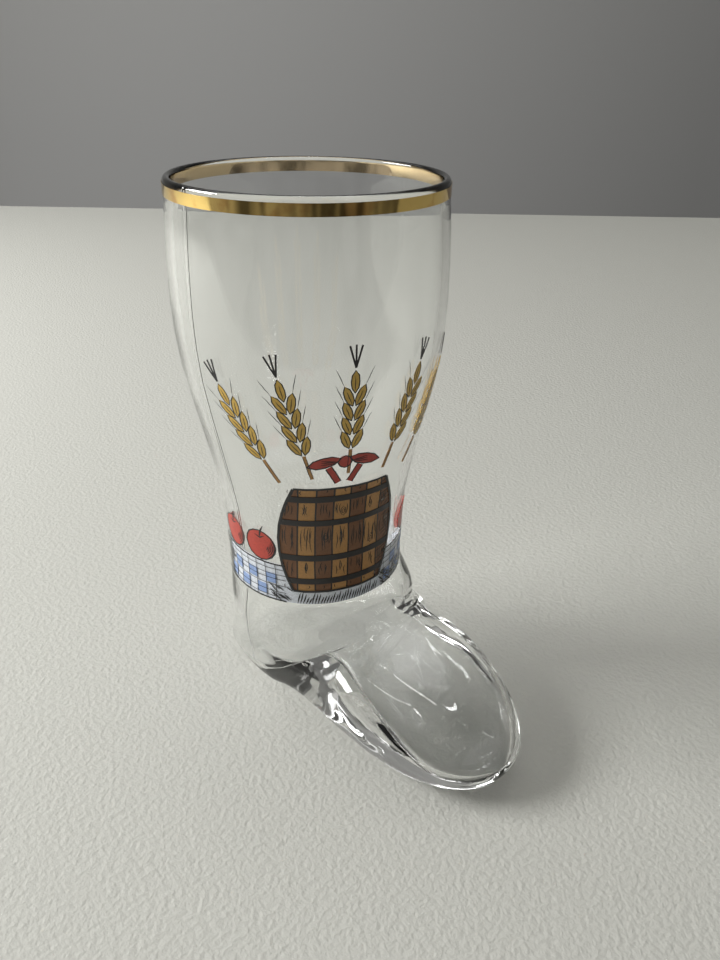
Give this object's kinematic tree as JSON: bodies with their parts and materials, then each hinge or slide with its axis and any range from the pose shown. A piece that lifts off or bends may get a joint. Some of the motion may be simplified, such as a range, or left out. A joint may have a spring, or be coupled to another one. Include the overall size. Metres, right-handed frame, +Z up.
{
  "type": "beer boot glass",
  "caption": "Clear blown drinking glass in the shape of a boot, with a gold band under the lip and an enamel print on the leg.",
  "frame": {"origin": "on the table, on the axis of the boot's leg, in the flat base of the heel", "axes": "+Z up along the leg, +X towards the toe, +Y towards the boot's left side"},
  "size_m": [0.1171, 0.0724, 0.15],
  "materials": {
    "clear_glass": "clear, fire-polished",
    "fired_gold": "polished gold lustre",
    "enamel_white": "fired enamel, satin",
    "enamel_blue": "fired enamel, satin",
    "enamel_brown": "fired enamel, satin",
    "enamel_tan": "fired enamel, satin",
    "enamel_yellow": "fired enamel, satin",
    "enamel_red": "fired enamel, satin",
    "enamel_black": "fired enamel, satin"
  },
  "bodies": {
    "root": {"glass_body": "clear_glass", "gold_band": "fired_gold", "print_white": "enamel_white", "print_blue": "enamel_blue", "print_brown": "enamel_brown", "print_tan": "enamel_tan", "print_yellow": "enamel_yellow", "print_red": "enamel_red", "print_black": "enamel_black"}
  },
  "joints": []
}
